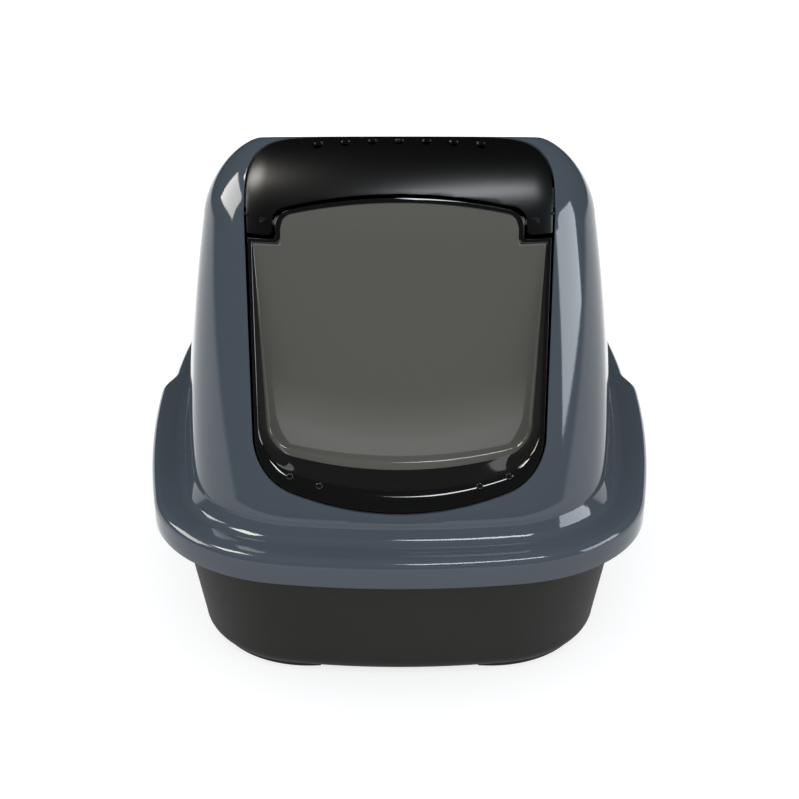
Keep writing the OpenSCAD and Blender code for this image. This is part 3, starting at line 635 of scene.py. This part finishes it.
EAR_W, EAR_R, ARCH_H, ARCH_R, FLAP_SHOULDER = 83.0, 12.0, 212.0, 320.0, 185.0
EAR_EASE, FLAP_T, FLAP_LEAN, FLAP_PIN_R = 0.5, 2.6, 14.0, 2.0
FIELD_LOW, FIELD_SLOPE = 40.0, 0.218


def bow_sag(x):
    """How far the bowed front falls back at a width."""
    r = END_BOW_R - FOOT_IN - UPPER_INSET
    return r - sqrt(r * r - x * x)


def face_y(x, z):
    """Front face of the hood at a width and a height above the ledge."""
    level = z + SLOPE * min(1.0, z / SHOULDER_H) * bow_sag(x)
    past = max(0.0, min(1.0, (level - SHOULDER_H) / SHOULDER_RISE))
    run = FRONT_RUN * (1 - sqrt(1 - past * past))
    return FOOT_IN + (level - HOOD_FOOT_H) * tan(radians(FRONT_LEAN)) + run + bow_sag(x)


def field_y(x, z):
    """Flat field of the flap, bowed like the front: flush at the ears and falling back below them."""
    plane = face_y(0.0, ARCH_H) + 1 - (ARCH_H - FIELD_LOW) * tan(radians(FLAP_LEAN))
    plane += (z - FIELD_LOW) * FIELD_SLOPE + bow_sag(x)
    return max(face_y(x, z) + 1.2, plane)


FLAP_AXIS_H = SHOULDER_H - 6.0
FLAP_AXIS_Y = face_y(0.0, ARCH_H) + 1 - (ARCH_H - FLAP_AXIS_H) * tan(radians(FLAP_LEAN))
FLAP_AXIS_Y += bow_sag(EAR_W) + FLAP_T + 0.8
BOSS_R, BOSS_W = 4.5, 8.0


def arch_line(shoulder, ear, ear_r, arch, steps=12):
    """Right half of the flap's top: square shoulder, ear and bowed arch, ending in the middle."""
    ex = ear - ear_r
    ez = arch - ARCH_R + sqrt((ARCH_R - ear_r) ** 2 - ex * ex)
    lean = atan2(ex, ez - arch + ARCH_R)
    line = [(ear + 3, shoulder)] + [(ear + 3 - 3 * sin(a), shoulder + 3 - 3 * cos(a)) for a in arc(22, 90, 4)]
    turns = [pi / 2 - (pi / 2 - lean) * k / steps for k in range(steps + 1)]
    line += [(ex + ear_r * sin(a), ez + ear_r * cos(a)) for a in turns]
    turns = [lean * (1 - k / steps) for k in range(1, steps + 1)]
    return line + [(ARCH_R * sin(a), arch - ARCH_R * (1 - cos(a))) for a in turns]


def leg_rings(t):
    """Rings of the cover from the middle of the roof down to the feet of its legs."""
    return roof_rings(t) + [wall_ring(SHOULDER_H - 8 * k, t) for k in range(6)]


cover = skin_through("top_cover_moulding", leg_rings(WALL) + list(reversed(leg_rings(0.0))))
cut(cover, doorway(SEAM, REAR_SEAM, "cover_limit"), "INTERSECT")
window_low = FLAP_SHOULDER + SEAM + EAR_EASE
window = [(0.0, -60.0), (150.0, -60.0), (150.0, window_low)]
window += arch_line(window_low, EAR_W + SEAM, EAR_R - SEAM, ARCH_H + SEAM)
window += [(-x, z) for x, z in reversed(window[1:-1])]
cut(cover, flat_outline(window, -20.0, DOOR_REAR_Y, "flap_window"))

VENT_Y, VENT_R, VENT_PITCH = ROOF_Y - 6.6, 3.5, 110.0 / 6
vent_h = ROOF_H - SLOPE * (VENT_Y - ROOF_Y)
tilt = radians(14.5)
for k in range(7):
    x = (k - 3) * VENT_PITCH
    punch = skin_through("vent_punch", [[
        (x + VENT_R * cos(a),
         VENT_Y + VENT_R * sin(a) * cos(tilt) + up * sin(tilt),
         vent_h - VENT_R * sin(a) * sin(tilt) + up * cos(tilt))
        for a in arc(0, 345, 23)] for up in (-9.0, 9.0)])
    cut(cover, punch)
finish_mesh(cover, 38.0, 0.7)

FILTER_W, FILTER_T, FRAME_T, FILTER_SLOPE = 120.0, 8.0, 1.8, radians(18.0)
FILTER_Y, FILTER_TOP = VENT_Y - 7.0, ROOF_H - 14.0


def beside_filter(x, along, up):
    """A point given in the filter frame's own directions: across, along its slope and above it."""
    return (x, FILTER_Y + along * cos(FILTER_SLOPE) - up * sin(FILTER_SLOPE),
            FILTER_TOP + along * sin(FILTER_SLOPE) + up * cos(FILTER_SLOPE))


cover_parts = [cover]
neck = round_outline(HINGE_Y, HINGE_H, KNUCKLE_R, 0.0, 180.0, 18)
neck += [(HINGE_Y + y, HINGE_H + z) for y, z in (
    (-KNUCKLE_R, -12.5), (-18.0, -12.5), (-18.0, 9.3), (-21.0, 9.3), (-21.0, -15.5), (KNUCKLE_R, -15.5))]
rail_x, rail_low = FILTER_W / 2 + FRAME_T + REST_GAP, -FILTER_T - FRAME_T - REST_GAP
for side, word in ((-1, "left"), (1, "right")):
    arm = across("cover_arm_" + word, neck, side * HINGE_X - ARM_W / 2, side * HINGE_X + ARM_W / 2)
    cut(arm, across("bore", round_outline(HINGE_Y, HINGE_H, HINGE_PIN_R + RUN_GAP), -90.0, 90.0))
    cut(arm, space_under(WALL / 2), "INTERSECT")
    finish_mesh(arm, 38.0, 0.3, 2)
    rail = skin_through("filter_rail_" + word, [[beside_filter(side * x, along, up) for x, up in (
        (rail_x, rail_low), (rail_x, 40.0), (rail_x + 2.5, 40.0), (rail_x + 2.5, rail_low - 1.6),
        (rail_x - 3.0, rail_low - 1.6), (rail_x - 3.0, rail_low))] for along in (-9.2, 9.2)])
    cut(rail, space_under(WALL / 2), "INTERSECT")
    finish_mesh(rail, 38.0, 0.3, 2)
    boss_x = EAR_W + SEAM + BOSS_W / 2
    boss_front = face_y(boss_x, FLAP_AXIS_H) + WALL / 2
    boss = across(
        "flap_boss_" + word,
        round_outline(FLAP_AXIS_Y, FLAP_AXIS_H, BOSS_R, -90.0, 180.0, 20)
        + [(boss_front, FLAP_AXIS_H + BOSS_R), (boss_front, FLAP_AXIS_H - BOSS_R)],
        side * boss_x - BOSS_W / 2, side * boss_x + BOSS_W / 2)
    cut(boss, across("bore", round_outline(FLAP_AXIS_Y, FLAP_AXIS_H, FLAP_PIN_R + HOLD_GAP), -120.0, 120.0))
    finish_mesh(boss, 38.0, 0.3, 2)
    nub_x = DOOR_TOP - SEAM
    nub = across(
        "leg_nub_" + word, round_outline(face_y(nub_x, SHOULDER_H) + WALL / 2, SHOULDER_H, 1.0),
        side * nub_x - 1.0, side * nub_x + 1.0)
    finish_mesh(nub, 38.0, 0.2, 2)
    cover_parts += [arm, rail, boss, nub]

jet, nodes, links, shader = node_material("satin_black")
shader.inputs["Roughness"].default_value = 0.30
shader.inputs["Specular IOR Level"].default_value = 0.3
place = nodes.new("ShaderNodeTexCoord")
cloud = nodes.new("ShaderNodeTexNoise")
cloud.inputs["Scale"].default_value = 6.0
links.new(place.outputs["Object"], cloud.inputs["Vector"])
tone = nodes.new("ShaderNodeValToRGB")
tone.color_ramp.elements[0].color = (0.0011, 0.0011, 0.0012, 1.0)
tone.color_ramp.elements[1].color = (0.0017, 0.0017, 0.0019, 1.0)
links.new(cloud.outputs["Fac"], tone.inputs["Fac"])
links.new(tone.outputs["Color"], shader.inputs["Base Color"])
grain = nodes.new("ShaderNodeTexNoise")
grain.inputs["Scale"].default_value = 1800.0
links.new(place.outputs["Object"], grain.inputs["Vector"])
relief = nodes.new("ShaderNodeBump")
relief.inputs["Strength"].default_value = 0.08
relief.inputs["Distance"].default_value = 0.0001
links.new(grain.outputs["Fac"], relief.inputs["Height"])
links.new(relief.outputs["Normal"], shader.inputs["Normal"])
for piece in cover_parts:
    dress(piece, jet, "cover", "top_cover")


# The odour filter: a slotted tray of matt black plastic that slides on the rails behind
# the vents, and the pad of black carbon felt that lies in it.

frame_black, nodes, links, shader = node_material("matt_black_plastic")
shader.inputs["Roughness"].default_value = 0.55
place = nodes.new("ShaderNodeTexCoord")
grain = nodes.new("ShaderNodeTexNoise")
grain.inputs["Scale"].default_value = 900.0
links.new(place.outputs["Object"], grain.inputs["Vector"])
tone = nodes.new("ShaderNodeValToRGB")
tone.color_ramp.elements[0].color = (0.010, 0.010, 0.010, 1.0)
tone.color_ramp.elements[1].color = (0.015, 0.015, 0.015, 1.0)
links.new(grain.outputs["Fac"], tone.inputs["Fac"])
links.new(tone.outputs["Color"], shader.inputs["Base Color"])
relief = nodes.new("ShaderNodeBump")
relief.inputs["Strength"].default_value = 0.2
relief.inputs["Distance"].default_value = 0.0002
links.new(grain.outputs["Fac"], relief.inputs["Height"])
links.new(relief.outputs["Normal"], shader.inputs["Normal"])
finish_node("filter_frame", frame_black)

felt, nodes, links, shader = node_material("carbon_felt")
shader.inputs["Roughness"].default_value = 0.95
shader.inputs["Specular IOR Level"].default_value = 0.2
shader.inputs["Sheen Weight"].default_value = 0.15
place = nodes.new("ShaderNodeTexCoord")
fibres = nodes.new("ShaderNodeTexNoise")
fibres.inputs["Scale"].default_value = 700.0
fibres.inputs["Detail"].default_value = 6.0
links.new(place.outputs["Object"], fibres.inputs["Vector"])
tone = nodes.new("ShaderNodeValToRGB")
tone.color_ramp.elements[0].position = 0.3
tone.color_ramp.elements[0].color = (0.012, 0.012, 0.013, 1.0)
tone.color_ramp.elements[1].position = 0.7
tone.color_ramp.elements[1].color = (0.034, 0.034, 0.035, 1.0)
links.new(fibres.outputs["Fac"], tone.inputs["Fac"])
links.new(tone.outputs["Color"], shader.inputs["Base Color"])
relief = nodes.new("ShaderNodeBump")
relief.inputs["Strength"].default_value = 0.6
relief.inputs["Distance"].default_value = 0.0006
links.new(fibres.outputs["Fac"], relief.inputs["Height"])
links.new(relief.outputs["Normal"], shader.inputs["Normal"])
finish_node("carbon_filter", felt)

for node in ("flap_pin_left", "flap_pin_right"):
    finish_node(node, pin_grey)


# The flap: the swinging door, one glossy moulding in smoked plastic. A flush rim follows
# its edge, a shelf falls back from the sill, and the flat field leans less than the front.

RIM_H, RIM_W, FIELD_IN, SHELF_H, SIDE_T = 11.0, 2.8, 7.0, 17.4, 2.0


def smoked(name, dark, light):
    """Smoked glossy plastic, a little cloudy between two tones."""
    finish, nodes, links, shader = node_material(name)
    shader.inputs["Roughness"].default_value = 0.045
    shader.inputs["Specular IOR Level"].default_value = 0.5
    place = nodes.new("ShaderNodeTexCoord")
    cloud = nodes.new("ShaderNodeTexNoise")
    cloud.inputs["Scale"].default_value = 4.0
    links.new(place.outputs["Object"], cloud.inputs["Vector"])
    tone = nodes.new("ShaderNodeValToRGB")
    tone.color_ramp.elements[0].color = (*dark, 1.0)
    tone.color_ramp.elements[1].color = (*light, 1.0)
    links.new(cloud.outputs["Fac"], tone.inputs["Fac"])
    links.new(tone.outputs["Color"], shader.inputs["Base Color"])
    return finish


# Both tones are the same smoked plastic. The first is painted near black as painted shade on the flap's edge,
# rim, shelf and studs, where the glossy curves look dark. The field keeps the plastic's own tone.
smoked_painted_shade = smoked("smoked_painted_shade", (0.0075, 0.0075, 0.0075), (0.0095, 0.0095, 0.0095))
smoked_field = smoked("smoked_field", (0.125, 0.121, 0.107), (0.131, 0.127, 0.113))


def flap_line(sill_in, side_in, top_in, more, less):
    """Outline of the flap, drawn in all round: more flattens the sill, less tightens its corners."""
    low, top = DOOR_LOW - SEAM - side_in, DOOR_TOP - SEAM - EAR_EASE - top_in
    right = sill_line(low, SILL_H + SEAM + sill_in, SILL_BOW_R + more, SILL_CORNER_R - SEAM - less, 16)
    shoulder = FLAP_SHOULDER - top_in
    x0, z0 = right[-1]
    right += [(x0 + (top - x0) * k / 12, z0 + (shoulder - z0) * k / 12) for k in range(1, 13)]
    right += arch_line(shoulder, EAR_W - top_in, EAR_R - top_in / 2, ARCH_H - top_in, 14)
    return right + [(-x, z) for x, z in reversed(right[1:-1])]


def flap_folds(back):
    """The flap's edge, rim, shelf and field as rings: back 0 for its front skin, 1 for its back skin."""
    out, t = back * SIDE_T, back * FLAP_T
    edge = flap_line(0, 0, EAR_EASE + back, 0, 0)
    rim = flap_line(RIM_H - out, RIM_W - out, RIM_W - back, 40, 2.2)
    shelf = flap_line((RIM_H + SHELF_H) / 2 - out, (RIM_W + FIELD_IN) / 2 - out, RIM_W + 0.6 - back, 100, 5.2)
    field = flap_line(SHELF_H - out, FIELD_IN - out, RIM_W + 1.5 - back, 200, 16.2)
    flat = flap_line(SHELF_H + 6 - out, FIELD_IN + 4 - out, RIM_W + 4.5 - back, 240, 20.2)
    return [
        [(x, face_y(x, z) + 0.2 + t, z) for x, z in edge],
        [(x, face_y(x, z) + 0.4 + t, z) for x, z in rim],
        [(x, (face_y(x, z) + field_y(x, z)) / 2 + t, z) for x, z in shelf],
        [(x, field_y(x, z) + t, z) for x, z in field],
        [(x, field_y(x, z) + t, z) for x, z in flat],
    ]


def rounded_folds(folds, share=0.4, steps=6):
    """Rings from fold to fold, with every fold between two others turned into a small round."""
    rings = [folds[0]]
    for before, fold, after in zip(folds, folds[1:], folds[2:]):
        for k in range(steps + 1):
            t = k / steps
            rings.append([tuple(
                f + share * ((1 - t) ** 2 * (b - f) + t ** 2 * (a - f)) for b, f, a in zip(p, q, r))
                for p, q, r in zip(before, fold, after)])
    return rings + [folds[-1]]


def flap_skin(back):
    """One skin of the flap, from its edge to the middle of its field."""
    rings = rounded_folds(flap_folds(back))
    field = rings[-1]
    mid_z = (SHELF_H + SILL_H + SEAM + ARCH_H) / 2
    for k in range(1, 12):
        part = 1 - k / 11.5
        drawn_in = [(x * part, mid_z + (z - mid_z) * part) for x, y, z in field]
        rings.append([(x, field_y(x, z) + back * FLAP_T, z) for x, z in drawn_in])
    return rings


front = flap_skin(0)
# The rings nearest the edge (edge, rim and shelf) take the near-black painted shade. The field and the inner
# rings take the plastic's own tone.
painted_shade_rings = 15
flap = skin_through(
    "flap_moulding", list(reversed(flap_skin(1))) + front, True, [smoked_painted_shade, smoked_field],
    lambda k: 1 if k >= len(front) + painted_shade_rings or k < len(front) - painted_shade_rings - 1 else 0)
finish_mesh(flap, 38.0, 0.6)
flap_parts = [flap]
boss_x = EAR_W - BOSS_W / 2 - 0.2
for side, word in ((-1, "left"), (1, "right")):
    web_y = field_y(boss_x, FLAP_AXIS_H) + FLAP_T / 2
    boss = across(
        "pivot_boss_" + word, round_outline(FLAP_AXIS_Y, FLAP_AXIS_H, BOSS_R, -90.0, 180.0, 20)
        + [(web_y, FLAP_AXIS_H + BOSS_R), (web_y, FLAP_AXIS_H - BOSS_R)],
        side * boss_x - BOSS_W / 2, side * boss_x + BOSS_W / 2)
    cut(boss, across("bore", round_outline(FLAP_AXIS_Y, FLAP_AXIS_H, FLAP_PIN_R + RUN_GAP), -120.0, 120.0))
    finish_mesh(boss, 38.0, 0.3, 2)
    boss.data.materials.append(smoked_field)
    flap_parts.append(boss)
    for x, z, place in ((73.0, 39.0, "outer"), (53.3, 34.3, "inner")):
        lean = radians(FRONT_LEAN)
        foot_y = face_y(x, z) + 0.4 + FLAP_T / 2
        rings = []
        for r, out in ((2.2, 0.0), (2.2, 1.6), (2.05, 1.9), (1.7, 2.05), (1.0, 2.1), (0.2, 2.1)):
            rings.append([(
                side * x + r * cos(a), foot_y - out * cos(lean) + r * sin(a) * sin(lean),
                z + out * sin(lean) + r * sin(a) * cos(lean)) for a in arc(0, 345, 23)])
        stud = skin_through("stud_" + place + "_" + word, rings)
        finish_mesh(stud, 60.0)
        # The studs take the same near-black painted shade as the rim.
        stud.data.materials.append(smoked_painted_shade)
        flap_parts.append(stud)
for piece in flap_parts:
    dress(piece, None, "flap", "swing_flap")
